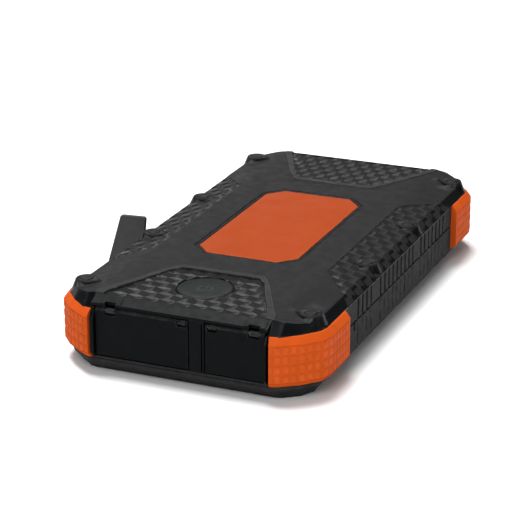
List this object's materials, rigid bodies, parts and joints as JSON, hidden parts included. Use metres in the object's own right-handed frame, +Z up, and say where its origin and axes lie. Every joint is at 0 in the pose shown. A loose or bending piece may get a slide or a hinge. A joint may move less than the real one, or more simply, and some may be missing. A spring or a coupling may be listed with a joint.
{
  "type": "jump starter pack",
  "caption": "Flat rectangular jump starter pack with rubber corner guards, ribbed sides, hinged port covers, a push button, a lamp and a covered jumper-cable socket.",
  "frame": {"origin": "centre of the flat underside of the case, at the middle of its length and width", "axes": "+X to the right seen from the port end, +Y along the length away from the port end, +Z up"},
  "size_m": [0.1238, 0.1966, 0.0304],
  "materials": {
    "case_plastic": "dark grey, fine grained",
    "fascia_plastic": "near black, smooth satin",
    "button_plastic": "dark grey, smooth",
    "frame_plastic": "mid grey, satin",
    "bumper_rubber": "bright orange, matte, knurled",
    "orange_panel": "orange, satin",
    "cap_rubber": "dark grey, matte",
    "cover_rubber": "dark grey, matte",
    "seal_rubber": "black, matte",
    "socket_plastic": "black, fine grained",
    "inner_plastic": "black",
    "screw_steel": "plain steel",
    "connector_steel": "nickel-plated steel",
    "contact_brass": "gold-coloured plating",
    "clear_lens": "clear, polished",
    "reflector_chrome": "vacuum-metallised",
    "circuit_board": "green solder mask",
    "heat_aluminium": "extruded, bare",
    "cell_foil": "pouch foil, satin",
    "foam": "closed-cell foam"
  },
  "bodies": {
    "root": {"top_cover": "case_plastic", "bottom_shell": "case_plastic", "perimeter_gasket": "seal_rubber", "bumper_front_left": "bumper_rubber", "bumper_front_right": "bumper_rubber", "bumper_rear_left": "bumper_rubber", "bumper_rear_right": "bumper_rubber", "top_panel": "orange_panel", "panel_frame": "frame_plastic", "button_board": "circuit_board", "button_bracket": "inner_plastic", "tact_switch": "inner_plastic", "cover_screws": "screw_steel", "screw_caps": "cap_rubber", "board_screws": "screw_steel", "front_fascia": "fascia_plastic", "port_cover_pin_left": "screw_steel", "port_cover_pin_right": "screw_steel", "usb_a_port_left": "connector_steel", "usb_a_port_right": "connector_steel", "usb_c_port": "connector_steel", "dc_charge_jack": "inner_plastic", "rear_fascia": "fascia_plastic", "lamp_lens": "clear_lens", "lamp_reflector": "reflector_chrome", "lamp_board": "circuit_board", "jumper_socket": "socket_plastic", "jumper_contact_positive": "contact_brass", "jumper_contact_negative": "contact_brass", "socket_cover_pin": "screw_steel", "main_circuit_board": "circuit_board", "heat_spreader": "heat_aluminium", "battery_cell_1": "cell_foil", "battery_cell_2": "cell_foil", "battery_cell_3": "cell_foil", "foam_pad_lower": "foam", "foam_pad_upper": "foam", "busbar_positive": "contact_brass", "busbar_negative": "contact_brass"},
    "power_button": {"power_button": "button_plastic"},
    "port_cover_left": {"port_cover_left": "fascia_plastic"},
    "port_cover_right": {"port_cover_right": "fascia_plastic"},
    "socket_cover": {"socket_cover": "cover_rubber", "socket_cover_seal": "seal_rubber"}
  },
  "joints": [
    {"name": "power_button_press", "type": "slide", "parent": "root", "child": "power_button", "axis": [0, 0, -1], "range_m": [0, 0.0006], "stiffness_N_per_m": 4000, "springref_m": -0.0003},
    {"name": "port_cover_left_hinge", "type": "hinge", "parent": "root", "child": "port_cover_left", "pos_m": [0, -0.0951, 0.0249], "axis": [-1, 0, 0], "range_deg": [0, 95]},
    {"name": "port_cover_right_hinge", "type": "hinge", "parent": "root", "child": "port_cover_right", "pos_m": [0, -0.0951, 0.0249], "axis": [-1, 0, 0], "range_deg": [0, 95]},
    {"name": "socket_cover_hinge", "type": "hinge", "parent": "root", "child": "socket_cover", "pos_m": [-0.0515, -0.01, 0.015], "axis": [0, 0, -1], "range_deg": [-15, 90]}
  ]
}
